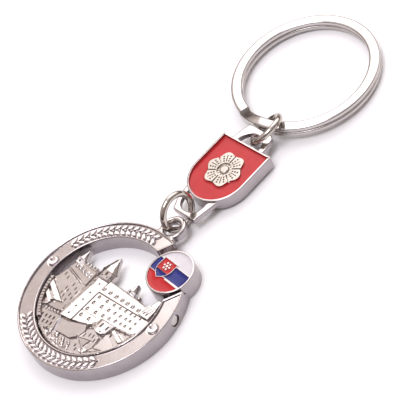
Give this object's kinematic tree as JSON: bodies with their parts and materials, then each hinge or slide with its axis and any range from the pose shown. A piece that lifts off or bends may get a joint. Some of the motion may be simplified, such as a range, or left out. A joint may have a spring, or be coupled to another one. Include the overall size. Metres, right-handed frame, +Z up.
{
  "type": "keychain",
  "caption": "Souvenir keychain: ring pendant with a pivoting castle panel and enamelled badge, shield-shaped connector, wire jump rings and a flat split key ring.",
  "frame": {"origin": "middle of the footprint, on the surface that the keychain lies on", "axes": "+X along the chain from the pendant to the key ring, +Z up out of the pendant's face"},
  "size_m": [0.0978, 0.0356, 0.0088],
  "materials": {
    "nickel_casting": "bright nickel plate on a zinc casting, polished with a warm tint",
    "steel_wire": "polished nickel-plated steel wire",
    "red_enamel": "glossy soft enamel",
    "blue_enamel": "glossy soft enamel",
    "white_enamel": "glossy soft enamel"
  },
  "bodies": {
    "pendant": {"pendant_ring": "nickel_casting", "badge_body": "nickel_casting", "badge_enamel_white": "white_enamel", "badge_enamel_blue_left": "blue_enamel", "badge_enamel_blue_right": "blue_enamel", "badge_enamel_red": "red_enamel", "badge_crest_red": "red_enamel", "badge_crest_blue": "blue_enamel", "pivot_pin_right": "steel_wire", "pivot_pin_left": "steel_wire"},
    "panel": {"castle_panel": "nickel_casting"},
    "lower_link": {"lower_jump_ring": "steel_wire"},
    "shield": {"shield_connector": "nickel_casting", "shield_enamel": "red_enamel"},
    "upper_link": {"upper_jump_ring": "steel_wire"},
    "key_ring": {"split_ring": "steel_wire"}
  },
  "joints": [
    {"name": "panel_pivot", "type": "hinge", "parent": "pendant", "child": "panel", "pos_m": [-0.03114, 0, 0.00188], "axis": [0.2079, -0.9781, 0], "range_deg": [-120, 120]},
    {"name": "lower_link_swing", "type": "hinge", "parent": "pendant", "child": "lower_link", "pos_m": [-0.00924, -0.0016, 0.0027], "axis": [0.0472, -0.99, 0.1327], "range_deg": [-50, 15]},
    {"name": "shield_swing", "type": "hinge", "parent": "lower_link", "child": "shield", "pos_m": [-0.00735, -0.00124, 0.00255], "axis": [0.0472, -0.99, 0.1327], "range_deg": [-60, 24]},
    {"name": "upper_link_roll", "type": "hinge", "parent": "shield", "child": "upper_link", "pos_m": [0.01575, -0.00225, 0.00255], "axis": [-1, 0, 0], "range_deg": [0, 90]},
    {"name": "key_ring_swing", "type": "hinge", "parent": "upper_link", "child": "key_ring", "pos_m": [0.0182, -0.0035, 0.0026], "axis": [0, -1, 0], "range_deg": [-75, 10]}
  ]
}
